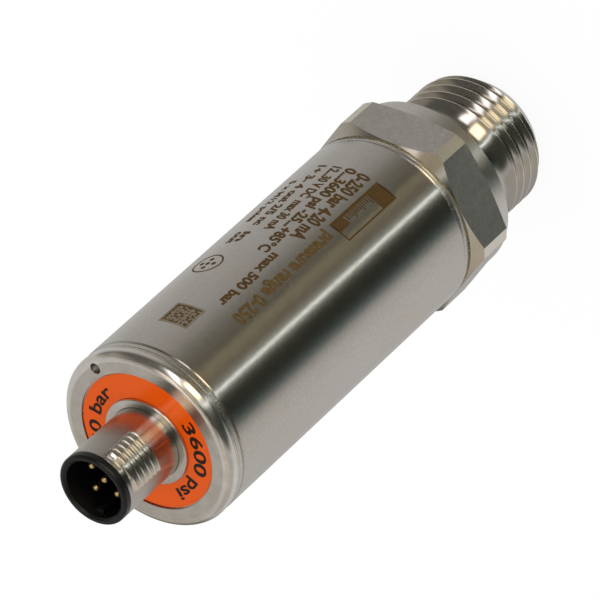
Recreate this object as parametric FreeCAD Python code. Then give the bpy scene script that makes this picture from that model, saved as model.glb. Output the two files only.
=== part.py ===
import FreeCAD, Part
import math
import os

# Pressure transmitter with a G 1/2 process thread and an M12 plug.
# Millimetres and degrees. The axis is Z. The end of the process thread stands on z = 0,
# and the plug points up. X and Y run through the outer contacts of the plug.

# ---- Process connection: threaded stud, sealing collar, hexagon, weld ring, spigot
thread_diameter = 20.955          # G 1/2 major diameter
thread_pitch = 1.814
thread_depth = 1.162
thread_flank = 27.5               # from the plane of a ridge
thread_crest_width = 0.302
thread_first_crest = 3.43         # height of the lowest full ridge
thread_ridges = 4                 # level rings, where the real thread climbs by a pitch a turn
thread_end_diameter = 16.6
thread_lead_in = 2.7              # height of the cone at the end of the thread
stud_length = 15.2                # end of the thread to the sealing face of the collar
undercut_diameter = 18.2
undercut_length = 5.6
undercut_slope = 40.0             # of the run-out flank, from the plane of the end face
undercut_fillet = 2.5
port_diameter = 5.0
port_depth = 15.0                 # to the shoulder of the drill point
port_mouth_chamfer = 0.6
channel_diameter = 3.0            # narrower hole from the port up to the cell
collar_diameter = 26.9
collar_height = 2.8
collar_chamfer = 0.3
seal_groove_diameter = 24.2
seal_groove_depth = 1.4
hexagon_width = 27.0              # across the flats
hexagon_corner_diameter = 30.2    # the bar is turned to this before the flats are milled
hexagon_height = 7.0
hexagon_turn = 6.3                # from the X axis to the normal of a flat
hexagon_upper_bevel = 30.0        # slope of the turned bevel against the end face
hexagon_lower_bevel = 16.0
hexagon_bevel_step = 0.05         # the bevels start this far inside the flats
relief_width = 0.4                # groove between the hexagon and the weld ring
relief_depth = 0.8
weld_ring_height = 0.9
weld_ring_chamfer = 0.12
lower_spigot_height = 4.0
cell_seat_diameter = 13.0
cell_seat_height = 2.0

# ---- Elastomer ring in the collar
port_seal_width = 2.7
port_seal_height = 1.5
port_seal_clearance = 0.1
port_seal_chamfer = 0.35

# ---- Housing tube
housing_diameter = 27.0
housing_wall = 1.0
housing_length = 53.1
housing_edge_chamfer = 0.12
spigot_clearance = 0.04           # radial, between the tube and both spigots

# ---- End cap
cap_seam_width = 1.35             # turned band that carries the weld seam
cap_seam_depth = 0.1
cap_shoulder_height = 1.65        # from the seam band to the rim
cap_edge_radius = 1.3
cap_plate_thickness = 4.0
cap_skirt_length = 3.0
cap_skirt_wall = 1.3
cap_hub_wall = 1.15
cap_hub_projection = 0.2          # above the rim
cap_hub_chamfer = 0.2
pinhole_diameter = 1.6
pinhole_depth = 1.6
pinhole_radius = 11.8             # distance of the pinhole from the axis
pinhole_angle = 348.0
drill_point_angle = 118.0

# ---- Range label
label_diameter = 20.6
label_thickness = 0.2
label_clearance = 0.05            # round the hub
label_rim_gap = 0.15              # to the wall of the recess
label_sunk_depth = 0.25           # from the rim down to the face of the label

# ---- Plug: metal sleeve with an interrupted M12 thread
sleeve_diameter = 10.7
sleeve_wall = 0.5
sleeve_projection = 10.95         # above the rim of the cap
sleeve_clearance = 0.03
sleeve_flange_diameter = 14.0
sleeve_flange_height = 1.2
plug_thread_diameter = 12.0
plug_thread_start = 4.5           # above the rim of the cap
plug_thread_length = 5.7
plug_thread_sector = 72.0         # width of each of the two threaded fields
plug_thread_angle = 261.0         # middle of the first field
plug_thread_chamfer = 0.4

# ---- Seal ring between the sleeve and the cap
o_ring_section = 1.0
o_ring_clearance = 0.03
o_ring_depth = 1.6                # from the floor of the label recess to the ring's middle

# ---- Plug insert and contacts
insert_rim_height = 1.15
insert_rim_rounding = 0.45
insert_clearance = 0.04
insert_length = 13.0
socket_diameter = 8.7
socket_depth = 8.5
socket_mouth_chamfer = 0.3
key_width = 1.1
key_projection = 0.7
key_setback = 1.0                 # from the mouth of the socket
key_angle = 132.0
contact_count = 4                 # outer contacts, with one more in the middle
contact_circle_diameter = 5.0
contact_diameter = 1.0
contact_tip_rounding = 0.4
contact_setback = 2.45            # from the mouth of the socket to the tips
contact_clearance = 0.02
contact_tail = 0.8                # below the connector board

# ---- Boards
board_gap = 0.2                   # between the connector board and the skirt of the cap
connector_board_clearance = 1.2   # radial, to the bore of the housing
connector_board_thickness = 1.2
board_hole_clearance = 0.1
header_height = 2.5
header_inset = 4.45               # from the edge of the main board to the end of the header
header_width = 2.5
header_chamfer = 0.3
main_board_inset = 1.55           # from the outside of the carrier to the edge of the board
main_board_thickness = 1.6
main_board_lift = 2.5             # above the pressure cell
board_slot_clearance = 0.1

# ---- Board carrier
carrier_clearance = 0.15
carrier_ring_height = 3.0
carrier_ring_wall = 2.6
carrier_rail_wall = 2.4
carrier_rail_width = 5.0

# ---- Pressure cell and its board
cell_diameter = 12.0
cell_body_height = 4.5
cell_neck_diameter = 9.5
cell_neck_height = 2.0
cell_cavity_diameter = 5.0
diaphragm_thickness = 0.5
cell_board_rim_gap = 0.95         # radial, to the lower ring of the carrier
cell_board_thickness = 1.0
cell_board_clearance = 0.05

# ---- Flexible lead from the cell board to the main board
lead_width = 6.0
lead_thickness = 0.25
lead_bend_radius = 1.0
lead_foot_length = 1.6
lead_foot_inset = 0.5             # from the edge of the cell board to the end of the foot
lead_lap = 3.0                    # soldered length on the main board

# ---- Parts on the boards: length along the board, width across it, height off it
amplifier_size = (6.2, 5.0, 1.5)
microcontroller_size = (7.0, 7.0, 1.2)
driver_size = (5.0, 4.0, 1.5)
regulator_size = (3.0, 6.5, 1.7)
crystal_size = (3.2, 2.5, 0.9)
capacitor_size = (3.2, 1.6, 1.6)
capacitor_count = 3
capacitor_pitch = 3.4
diode_size = (2.8, 1.8, 1.3)
diode_rim_gap = 0.75              # from the upper ring of the carrier to the nearest corner
part_edge_margin = 1.2
package_chamfer = 0.2

# ---- Heights that follow from the sizes above
collar_bottom = stud_length
hexagon_bottom = collar_bottom + collar_height
hexagon_top = hexagon_bottom + hexagon_height
weld_ring_bottom = hexagon_top + relief_width
housing_bottom = weld_ring_bottom + weld_ring_height
housing_top = housing_bottom + housing_length
cap_shoulder_bottom = housing_top + cap_seam_width
cap_rim = cap_shoulder_bottom + cap_shoulder_height
label_top = cap_rim - label_sunk_depth
label_floor = label_top - label_thickness
cap_underside = cap_rim - cap_plate_thickness
cap_skirt_bottom = housing_top - cap_skirt_length
sleeve_top = cap_rim + sleeve_projection
socket_mouth = sleeve_top + insert_rim_height
socket_floor = socket_mouth - socket_depth
contact_tip = socket_mouth - contact_setback
lower_spigot_top = housing_bottom + lower_spigot_height
cell_bottom = lower_spigot_top + cell_seat_height
cell_shoulder = cell_bottom + cell_body_height
cell_top = cell_shoulder + cell_neck_height
cell_board_top = cell_shoulder + cell_board_thickness
carrier_top = cap_skirt_bottom - board_gap - connector_board_thickness
main_board_top = carrier_top - header_height
main_board_bottom = cell_top + main_board_lift

# ---- Radii that several pieces share
housing_radius = housing_diameter / 2
housing_bore_radius = housing_radius - housing_wall
spigot_radius = housing_bore_radius - spigot_clearance
sleeve_radius = sleeve_diameter / 2
sleeve_hole_radius = sleeve_radius + sleeve_clearance
sleeve_bore_radius = sleeve_radius - sleeve_wall
hub_radius = sleeve_hole_radius + cap_hub_wall
contact_hole_radius = contact_diameter / 2 + contact_clearance
carrier_radius = housing_bore_radius - carrier_clearance
carrier_ring_bore_radius = carrier_radius - carrier_ring_wall
connector_board_radius = housing_bore_radius - connector_board_clearance
cell_board_radius = carrier_ring_bore_radius - cell_board_rim_gap
lead_foot_radius = cell_board_radius - lead_foot_inset
main_board_width = 2 * (carrier_radius - main_board_inset)
header_length = main_board_width - 2 * header_inset


def vector(x, y, z):
    return FreeCAD.Vector(x, y, z)


def turned(profile):
    """Solid of revolution about Z from the corners (radius, height) of its half section."""
    corners = [vector(radius, 0, height) for radius, height in profile]
    half_section = Part.Face(Part.makePolygon(corners + corners[:1]))
    return half_section.revolve(vector(0, 0, 0), vector(0, 0, 1), 360)


def disc(radius, bottom, top, x=0.0, y=0.0):
    return Part.makeCylinder(radius, top - bottom, vector(x, y, bottom))


def block(x_size, y_size, bottom, top, x=0.0, y=0.0):
    corner = vector(x - x_size / 2, y - y_size / 2, bottom)
    return Part.makeBox(x_size, y_size, top - bottom, corner)


def turned_about_z(shape, angle):
    copy = shape.copy()
    copy.rotate(vector(0, 0, 0), vector(0, 0, 1), angle)
    return copy


def rings(shape, radius, height):
    """Circular edges about the axis with the given radius and height."""
    found = []
    for edge in shape.Edges:
        curve = edge.Curve
        if not isinstance(curve, Part.Circle) or abs(curve.Radius - radius) > 1e-4:
            continue
        if abs(curve.Center.z - height) < 1e-4 and math.hypot(curve.Center.x, curve.Center.y) < 1e-4:
            found.append(edge)
    return found


def contact_places():
    """Angle by angle round the circle, then the middle contact."""
    places = []
    for number in range(contact_count):
        angle = 2 * math.pi * number / contact_count
        reach = contact_circle_diameter / 2
        places.append((reach * math.cos(angle), reach * math.sin(angle)))
    return places + [(0.0, 0.0)]


def hexagon():
    """Milled flats on a turned blank whose ends are bevelled."""
    corner_radius = hexagon_corner_diameter / 2
    bevel_radius = hexagon_width / 2 - hexagon_bevel_step
    bevel_depth = corner_radius - bevel_radius
    upper_bevel = bevel_depth * math.tan(math.radians(hexagon_upper_bevel))
    lower_bevel = bevel_depth * math.tan(math.radians(hexagon_lower_bevel))
    blank = turned([
        (0, hexagon_bottom),
        (bevel_radius, hexagon_bottom),
        (corner_radius, hexagon_bottom + lower_bevel),
        (corner_radius, hexagon_top - upper_bevel),
        (bevel_radius, hexagon_top),
        (0, hexagon_top),
    ])
    across_corners = hexagon_width / 2 / math.cos(math.pi / 6)
    corners = []
    for number in range(6):
        angle = math.radians(hexagon_turn + 30 + 60 * number)
        corner_x = across_corners * math.cos(angle)
        corner_y = across_corners * math.sin(angle)
        corners.append(vector(corner_x, corner_y, hexagon_bottom))
    flats = Part.Face(Part.makePolygon(corners + corners[:1])).extrude(vector(0, 0, hexagon_height))
    return blank.common(flats)


def thread_groove(number):
    """Ring that is cut away below one ridge of the thread, wider outwards by the slope of both flanks."""
    middle = thread_first_crest + (number - 0.5) * thread_pitch
    root_radius = thread_diameter / 2 - thread_depth
    outside_radius = thread_diameter / 2 + thread_crest_width
    widening = math.tan(math.radians(thread_flank))
    half_mouth = (thread_pitch - thread_crest_width) / 2
    half_root = half_mouth - thread_depth * widening
    half_outside = half_mouth + (outside_radius - thread_diameter / 2) * widening
    return turned([
        (root_radius, middle - half_root),
        (outside_radius, middle - half_outside),
        (outside_radius, middle + half_outside),
        (root_radius, middle + half_root),
    ])


def process_connection():
    thread_radius = thread_diameter / 2
    undercut_radius = undercut_diameter / 2
    undercut_top = collar_bottom + seal_groove_depth
    undercut_bottom = stud_length - undercut_length
    collar_radius = collar_diameter / 2
    runout_top = undercut_bottom + (thread_radius - undercut_radius) * math.tan(math.radians(undercut_slope))
    stud = turned([
        (0, 0),
        (thread_end_diameter / 2, 0),
        (thread_radius, thread_lead_in),
        (thread_radius, undercut_bottom),
        (undercut_radius, runout_top),
        (undercut_radius, undercut_top),
        (seal_groove_diameter / 2, undercut_top),
        (seal_groove_diameter / 2, collar_bottom),
        (collar_radius - collar_chamfer, collar_bottom),
        (collar_radius, collar_bottom + collar_chamfer),
        (collar_radius, hexagon_bottom),
        (0, hexagon_bottom),
    ])
    stud = stud.makeFillet(undercut_fillet, rings(stud, undercut_radius, runout_top))
    stud = stud.cut([thread_groove(number) for number in range(thread_ridges)])
    ring_radius = housing_radius
    neck = turned([
        (0, hexagon_top),
        (ring_radius - relief_depth, hexagon_top),
        (ring_radius - relief_depth, weld_ring_bottom),
        (ring_radius, weld_ring_bottom),
        (ring_radius, housing_bottom),
        (spigot_radius, housing_bottom),
        (spigot_radius, lower_spigot_top),
        (cell_seat_diameter / 2, lower_spigot_top),
        (cell_seat_diameter / 2, cell_bottom),
        (0, cell_bottom),
    ])
    neck = neck.makeChamfer(weld_ring_chamfer, rings(neck, ring_radius, weld_ring_bottom)
                            + rings(neck, ring_radius, housing_bottom))
    port_radius = port_diameter / 2
    channel_radius = channel_diameter / 2
    drill_point = (port_radius - channel_radius) / math.tan(math.radians(drill_point_angle / 2))
    port = turned([
        (0, 0),
        (port_radius + port_mouth_chamfer, 0),
        (port_radius, port_mouth_chamfer),
        (port_radius, port_depth),
        (channel_radius, port_depth + drill_point),
        (channel_radius, cell_bottom),
        (0, cell_bottom),
    ])
    return stud.fuse([hexagon(), neck]).removeSplitter().cut(port)


def port_seal():
    """Lies in the groove of the collar, a little proud of the sealing face."""
    inner = undercut_diameter / 2 + port_seal_clearance
    outer = inner + port_seal_width
    top = collar_bottom + seal_groove_depth
    seal = disc(outer, top - port_seal_height, top).cut(disc(inner, top - port_seal_height, top))
    lower_edges = rings(seal, outer, top - port_seal_height) + rings(seal, inner, top - port_seal_height)
    return seal.makeChamfer(port_seal_chamfer, lower_edges)


def housing_tube():
    tube = disc(housing_radius, housing_bottom, housing_top)
    tube = tube.cut(disc(housing_bore_radius, housing_bottom, housing_top))
    outer_edges = rings(tube, housing_radius, housing_bottom) + rings(tube, housing_radius, housing_top)
    return tube.makeChamfer(housing_edge_chamfer, outer_edges)


def pinhole():
    """Drilled blind hole in the rim of the cap, with the cone that the drill leaves."""
    radius = pinhole_diameter / 2
    point = radius / math.tan(math.radians(drill_point_angle / 2))
    angle = math.radians(pinhole_angle)
    bottom = cap_rim - pinhole_depth
    hole = turned([(0, bottom - point), (radius, bottom), (radius, cap_rim), (0, cap_rim)])
    hole.translate(vector(pinhole_radius * math.cos(angle), pinhole_radius * math.sin(angle), 0))
    return hole


def end_cap():
    seam_radius = housing_radius - cap_seam_depth
    recess_radius = label_diameter / 2 + label_rim_gap
    hub_top = cap_rim + cap_hub_projection
    skirt_bore_radius = spigot_radius - cap_skirt_wall
    cap = turned([
        (sleeve_hole_radius, cap_underside),
        (skirt_bore_radius, cap_underside),
        (skirt_bore_radius, cap_skirt_bottom),
        (spigot_radius, cap_skirt_bottom),
        (spigot_radius, housing_top),
        (seam_radius, housing_top),
        (seam_radius, cap_shoulder_bottom),
        (housing_radius, cap_shoulder_bottom),
        (housing_radius, cap_rim),
        (recess_radius, cap_rim),
        (recess_radius, label_floor),
        (hub_radius, label_floor),
        (hub_radius, hub_top),
        (sleeve_hole_radius, hub_top),
    ])
    cap = cap.makeFillet(cap_edge_radius, rings(cap, housing_radius, cap_rim))
    cap = cap.makeChamfer(cap_hub_chamfer, rings(cap, hub_radius, hub_top))
    groove_middle = label_floor - o_ring_depth
    half_height = o_ring_section / 2 + o_ring_clearance
    groove = disc(sleeve_radius + o_ring_section + 2 * o_ring_clearance,
                  groove_middle - half_height, groove_middle + half_height)
    return cap.cut(groove).cut(pinhole())


def range_label():
    outer = label_diameter / 2
    inner = hub_radius + label_clearance
    return disc(outer, label_floor, label_top).cut(disc(inner, label_floor, label_top))


def thread_field(angle):
    """One of the two raised fields that carry the plug thread, as a plain band at its crest."""
    crest = plug_thread_diameter / 2
    bottom = cap_rim + plug_thread_start
    top = bottom + plug_thread_length
    half_section = Part.Face(Part.makePolygon([
        vector(sleeve_bore_radius, 0, bottom),
        vector(crest - plug_thread_chamfer, 0, bottom),
        vector(crest, 0, bottom + plug_thread_chamfer),
        vector(crest, 0, top - plug_thread_chamfer),
        vector(crest - plug_thread_chamfer, 0, top),
        vector(sleeve_bore_radius, 0, top),
        vector(sleeve_bore_radius, 0, bottom),
    ]))
    field = half_section.revolve(vector(0, 0, 0), vector(0, 0, 1), plug_thread_sector)
    return turned_about_z(field, angle - plug_thread_sector / 2)


def connector_sleeve():
    flange_bottom = cap_underside - sleeve_flange_height
    sleeve = turned([
        (sleeve_bore_radius, flange_bottom),
        (sleeve_flange_diameter / 2, flange_bottom),
        (sleeve_flange_diameter / 2, cap_underside),
        (sleeve_radius, cap_underside),
        (sleeve_radius, sleeve_top),
        (sleeve_bore_radius, sleeve_top),
    ])
    return sleeve.fuse([thread_field(plug_thread_angle), thread_field(plug_thread_angle + 180)])


def connector_o_ring():
    ring = Part.makeTorus(sleeve_radius + o_ring_clearance + o_ring_section / 2, o_ring_section / 2)
    ring.translate(vector(0, 0, label_floor - o_ring_depth))
    return ring


def connector_insert():
    """Moulded body of the plug: rim, socket with its coding key, and the floor round the contacts."""
    body_radius = sleeve_bore_radius - insert_clearance
    socket_radius = socket_diameter / 2
    insert = turned([
        (0, socket_mouth - insert_length),
        (body_radius, socket_mouth - insert_length),
        (body_radius, sleeve_top),
        (sleeve_radius, sleeve_top),
        (sleeve_radius, socket_mouth),
        (socket_radius + socket_mouth_chamfer, socket_mouth),
        (socket_radius, socket_mouth - socket_mouth_chamfer),
        (socket_radius, socket_floor),
        (0, socket_floor),
    ])
    insert = insert.makeFillet(insert_rim_rounding, rings(insert, sleeve_radius, socket_mouth))
    key_inner = socket_radius - key_projection
    key = block(body_radius - key_inner, key_width, socket_floor, socket_mouth - key_setback,
                x=(body_radius + key_inner) / 2)
    insert = insert.fuse(turned_about_z(key, key_angle)).common(disc(sleeve_radius, 0, socket_mouth))
    for x, y in contact_places():
        insert = insert.cut(disc(contact_hole_radius, 0, socket_mouth, x, y))
    return insert


def contact_pin(x, y):
    bottom = carrier_top - contact_tail
    pin = disc(contact_diameter / 2, bottom, contact_tip, x, y)
    tip = [edge for edge in pin.Edges if edge.Curve.TypeId == "Part::GeomCircle"
           and abs(edge.Curve.Center.z - contact_tip) < 1e-4]
    return pin.makeFillet(contact_tip_rounding, tip)


def connector_board():
    """Round board on top of the carrier, which the contacts are soldered into."""
    top = carrier_top + connector_board_thickness
    board = disc(connector_board_radius, carrier_top, top)
    for x, y in contact_places():
        board = board.cut(disc(contact_diameter / 2 + board_hole_clearance, carrier_top, top, x, y))
    return board


def header_place():
    """The header stands beside the contacts, so it is set back by their circle."""
    return contact_circle_diameter / 2 + contact_diameter + header_width / 2


def board_header():
    """Angled header: it clips over the edge of the main board and meets the round board."""
    y = header_place()
    upright = block(header_length, header_width, main_board_top - header_height, carrier_top, y=y)
    arm_width = y + header_width / 2 - main_board_thickness / 2
    arm = block(header_length, arm_width, main_board_top - header_height, main_board_top,
                y=main_board_thickness / 2 + arm_width / 2)
    header = upright.fuse(arm).removeSplitter()
    outer = y + header_width / 2
    edges = [edge for edge in header.Edges
             if all(abs(vertex.Y - outer) < 1e-4 for vertex in edge.Vertexes)]
    return header.makeChamfer(header_chamfer, edges)


def main_board():
    return block(main_board_width, main_board_thickness, main_board_bottom, main_board_top)


def board_carrier():
    """Moulded cage: a ring at each end and two slotted rails between them."""
    outer = carrier_radius
    ring_bore = carrier_ring_bore_radius
    bottom = lower_spigot_top
    wall = disc(outer, bottom, carrier_top).cut(disc(outer - carrier_rail_wall, bottom, carrier_top))
    rails = wall.common(block(2 * outer, carrier_rail_width, bottom, carrier_top))
    carrier = rails
    for ring_bottom in (bottom, carrier_top - carrier_ring_height):
        ring_top = ring_bottom + carrier_ring_height
        carrier = carrier.fuse(disc(outer, ring_bottom, ring_top).cut(disc(ring_bore, ring_bottom, ring_top)))
    slot = block(main_board_width + 2 * board_slot_clearance,
                 main_board_thickness + 2 * board_slot_clearance, main_board_bottom, carrier_top)
    return carrier.cut(slot).removeSplitter()


def pressure_cell():
    """Steel cell welded on its seat: the cavity above the channel ends at the diaphragm."""
    cavity_radius = cell_cavity_diameter / 2
    return turned([
        (cavity_radius, cell_bottom),
        (cell_diameter / 2, cell_bottom),
        (cell_diameter / 2, cell_shoulder),
        (cell_neck_diameter / 2, cell_shoulder),
        (cell_neck_diameter / 2, cell_top),
        (0, cell_top),
        (0, cell_top - diaphragm_thickness),
        (cavity_radius, cell_top - diaphragm_thickness),
    ])


def cell_board():
    hole = cell_neck_diameter / 2 + cell_board_clearance
    return disc(cell_board_radius, cell_shoulder, cell_board_top).cut(
        disc(hole, cell_shoulder, cell_board_top))


def flex_lead():
    """Flat lead: a foot on the cell board, a bend upwards, a slanted run and a lap on the main board."""
    half = lead_thickness / 2
    face = -main_board_thickness / 2 - half
    foot_height = cell_board_top + half
    foot_end = -lead_foot_radius + lead_foot_length
    rise = foot_end + lead_bend_radius
    bend_top = foot_height + lead_bend_radius
    diagonal = lead_bend_radius * math.sin(math.pi / 4)
    bend = Part.Arc(vector(0, foot_end, foot_height),
                    vector(0, foot_end + diagonal, foot_height + lead_bend_radius - diagonal),
                    vector(0, rise, bend_top))
    lap_bottom = main_board_bottom + part_edge_margin
    points = [vector(0, rise, bend_top), vector(0, rise, main_board_bottom - lead_bend_radius),
              vector(0, face, lap_bottom), vector(0, face, lap_bottom + lead_lap)]
    foot = Part.LineSegment(vector(0, -lead_foot_radius, foot_height), vector(0, foot_end, foot_height))
    path = [foot.toShape(), bend.toShape()]
    path += [Part.LineSegment(start, end).toShape() for start, end in zip(points, points[1:])]
    section = Part.makePolygon([
        vector(-lead_width / 2, -lead_foot_radius, foot_height - half),
        vector(lead_width / 2, -lead_foot_radius, foot_height - half),
        vector(lead_width / 2, -lead_foot_radius, foot_height + half),
        vector(-lead_width / 2, -lead_foot_radius, foot_height + half),
        vector(-lead_width / 2, -lead_foot_radius, foot_height - half),
    ])
    sweep = Part.BRepOffsetAPI.MakePipeShell(Part.Wire(path))
    sweep.add(section)
    sweep.setTransitionMode(1)
    sweep.build()
    sweep.makeSolid()
    return sweep.shape()


def package(size, height, side, x=0.0):
    """Part on a face of the main board; side is -1 or 1, height is that of its middle."""
    length, width, thickness = size
    y = side * (main_board_thickness + thickness) / 2
    body = block(width, thickness, height - length / 2, height + length / 2, x=x, y=y)
    outer_face = side * (main_board_thickness / 2 + thickness)
    edges = [edge for edge in body.Edges
             if all(abs(vertex.Y - outer_face) < 1e-4 for vertex in edge.Vertexes)]
    return body.makeChamfer(package_chamfer, edges)


def signal_amplifier():
    lead_end = main_board_bottom + part_edge_margin + lead_lap
    return package(amplifier_size, lead_end + part_edge_margin + amplifier_size[0] / 2, -1)


def microcontroller():
    return package(microcontroller_size, (main_board_bottom + main_board_top) / 2, 1)


def clock_crystal():
    across = microcontroller_size[1] / 2 + part_edge_margin + crystal_size[1] / 2
    return package(crystal_size, (main_board_bottom + main_board_top) / 2, 1, x=across)


def output_driver():
    return package(driver_size, main_board_top - part_edge_margin - driver_size[0] / 2, -1)


def voltage_regulator():
    driver_end = main_board_top - part_edge_margin - driver_size[0]
    return package(regulator_size, driver_end - part_edge_margin - regulator_size[0] / 2, -1)


def filter_capacitors():
    height = main_board_bottom + part_edge_margin + capacitor_size[0] / 2
    row = []
    for number in range(capacitor_count):
        x = (number - (capacitor_count - 1) / 2) * capacitor_pitch
        row.append(package(capacitor_size, height, 1, x))
    return Part.makeCompound(row)


def surge_diodes():
    """Two diodes under the connector board, one each side of the main board's edge."""
    length, width, height = diode_size
    near_side = contact_circle_diameter / 2
    corner_radius = carrier_ring_bore_radius - diode_rim_gap
    offset = math.sqrt(corner_radius ** 2 - (near_side + width) ** 2) - length / 2
    pair = []
    for side in (-1, 1):
        pair.append(block(length, width, carrier_top - height, carrier_top, x=side * offset,
                          y=-near_side - width / 2))
    return Part.makeCompound(pair)


def all_parts():
    parts = {
        "process_connection": process_connection(),
        "port_seal": port_seal(),
        "housing_tube": housing_tube(),
        "end_cap": end_cap(),
        "range_label": range_label(),
        "connector_sleeve": connector_sleeve(),
        "connector_o_ring": connector_o_ring(),
        "connector_insert": connector_insert(),
        "connector_board": connector_board(),
        "board_header": board_header(),
        "main_board": main_board(),
        "board_carrier": board_carrier(),
        "pressure_cell": pressure_cell(),
        "cell_board": cell_board(),
        "flex_lead": flex_lead(),
        "signal_amplifier": signal_amplifier(),
        "microcontroller": microcontroller(),
        "clock_crystal": clock_crystal(),
        "output_driver": output_driver(),
        "voltage_regulator": voltage_regulator(),
        "filter_capacitors": filter_capacitors(),
        "surge_diodes": surge_diodes(),
    }
    for number, (x, y) in enumerate(contact_places(), start=1):
        parts["contact_pin_%d" % number] = contact_pin(x, y)
    return parts


os.makedirs("parts", exist_ok=True)
for name, shape in all_parts().items():
    shape.exportStep("parts/%s.step" % name)
    box = shape.BoundBox
    print("%-20s solids %d  volume %9.1f  z %6.2f to %6.2f  valid %s" % (
        name, len(shape.Solids), shape.Volume, box.ZMin, box.ZMax, shape.isValid()))
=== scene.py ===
import math

import bmesh
import bpy
from mathutils import Matrix, Vector


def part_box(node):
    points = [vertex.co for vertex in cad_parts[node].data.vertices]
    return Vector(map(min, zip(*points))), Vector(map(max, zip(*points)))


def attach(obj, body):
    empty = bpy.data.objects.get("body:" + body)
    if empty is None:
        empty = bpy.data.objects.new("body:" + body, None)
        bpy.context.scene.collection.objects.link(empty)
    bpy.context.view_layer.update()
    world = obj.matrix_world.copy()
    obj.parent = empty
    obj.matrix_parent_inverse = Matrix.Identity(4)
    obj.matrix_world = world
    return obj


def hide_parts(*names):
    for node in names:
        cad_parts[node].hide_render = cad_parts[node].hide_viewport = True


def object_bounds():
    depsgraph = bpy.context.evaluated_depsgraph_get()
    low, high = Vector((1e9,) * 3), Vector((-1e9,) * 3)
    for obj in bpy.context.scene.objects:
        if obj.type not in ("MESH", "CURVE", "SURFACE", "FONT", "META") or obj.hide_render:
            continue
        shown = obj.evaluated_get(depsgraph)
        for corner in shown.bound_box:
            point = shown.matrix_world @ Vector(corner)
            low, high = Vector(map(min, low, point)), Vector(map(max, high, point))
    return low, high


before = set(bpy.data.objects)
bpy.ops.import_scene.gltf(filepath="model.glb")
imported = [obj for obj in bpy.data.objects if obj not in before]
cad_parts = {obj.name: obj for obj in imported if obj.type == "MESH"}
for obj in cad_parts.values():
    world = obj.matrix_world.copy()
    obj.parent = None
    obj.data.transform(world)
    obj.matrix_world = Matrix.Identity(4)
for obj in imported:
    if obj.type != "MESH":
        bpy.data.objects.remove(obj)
cad_low, cad_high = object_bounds()

MM = 0.001
scene = bpy.context.scene

# ---- Heights and radii that the frame gives, in millimetres
def low(node):
    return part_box(node)[0] / MM


def high(node):
    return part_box(node)[1] / MM


thread_end = low("process_connection").z
tube_bottom = low("housing_tube").z
tube_top = high("housing_tube").z
tube_radius = high("housing_tube").x
hub_top = high("end_cap").z
label_top = high("range_label").z
sleeve_foot = low("connector_sleeve").z
sleeve_top = high("connector_sleeve").z

# ---- Sizes of the turned and milled parts, in millimetres and degrees
THREAD_RADIUS = 10.4775
THREAD_PITCH = 1.814
THREAD_CREST_HALF = 0.07          # half of the land on each crest, which is painted lighter as a highlight
THREAD_ROOT_HALF = 0.09
THREAD_ROOT_DIP = 0.03
THREAD_FLANK_STEEPNESS = (41.0, 60.0)   # of the worn flank, at its crest and at its root
THREAD_FLANK_STEPS = 6
THREAD_CREST_HEIGHT = 0.25        # of one crest at the +X axis
LEAD_IN_RADIUS = 8.3
LEAD_IN_HEIGHT = 2.7
LAST_CREST_HEIGHT = 8.87          # at the angle below
LAST_CREST_ANGLE = 271.0
RUNOUT_DELAY = 0.12               # from the last crest to the start of the run-out
RUNOUT_SLOPE = 55.0               # of the surface where it leaves the crests
RUNOUT_RETURN = (390.0, 510.0)    # between these angles the start of the run-out drops back
NECK_RADIUS = 9.1
THREAD_TURNS = range(-2, 8)       # all turns that reach the stud at some angle
THREAD_ROWS_TOP = 13.2            # where all rows that would lie higher are gathered
PORT_RADIUS = 2.5
PORT_CHAMFER = 0.6
CHANNEL_RADIUS = 1.5
PORT_DEPTH = 15.0
DRILL_POINT = 59.0                # of the drill's cone, from the axis
COLLAR_BOTTOM = 15.2
SEAL_GROOVE_RADIUS = 12.1
SEAL_GROOVE_DEPTH = 1.4
COLLAR_RADIUS = 13.45
COLLAR_CHAMFER = 0.3
HEXAGON_BOTTOM = 18.0
HEXAGON_TOP = 25.0
HEXAGON_HALF_WIDTH = 13.5
HEXAGON_CORNER_RADIUS = 15.1
HEXAGON_TURN = 6.3
UPPER_BEVEL = 30.0
LOWER_BEVEL = 16.0
BEVEL_FOOT = 0.05                 # of the bevels, inside the flats
RELIEF_RADIUS = 12.7
WELD_RING_BOTTOM = 25.4
WELD_RING_STEP = 0.25             # of the ring's two ends, inside the tube's surface
WELD_CROWN_RADIUS = 0.95
WELD_CROWN_MIDDLE = 0.44          # above the ring's lower end
WELD_CROWN_REACH = 27.0           # of the crown's arc, to each side
WELD_SINK = 0.02                  # of the ring's upper end, below the tube's foot
WELD_CROWN_STEPS = 10
SPIGOT_RADIUS = 12.46
SPIGOT_TOP = 30.3
CELL_SEAT_RADIUS = 6.5
CELL_SEAT_TOP = 32.3

TUBE_WALL = 1.0
TUBE_EDGE_ROUND = 0.16
TUBE_EDGE_INSET = 0.05            # of the point in the middle of that rounding, from both faces
TUBE_LEVELS = 12                  # parts into which rings divide the length of the tube

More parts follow.
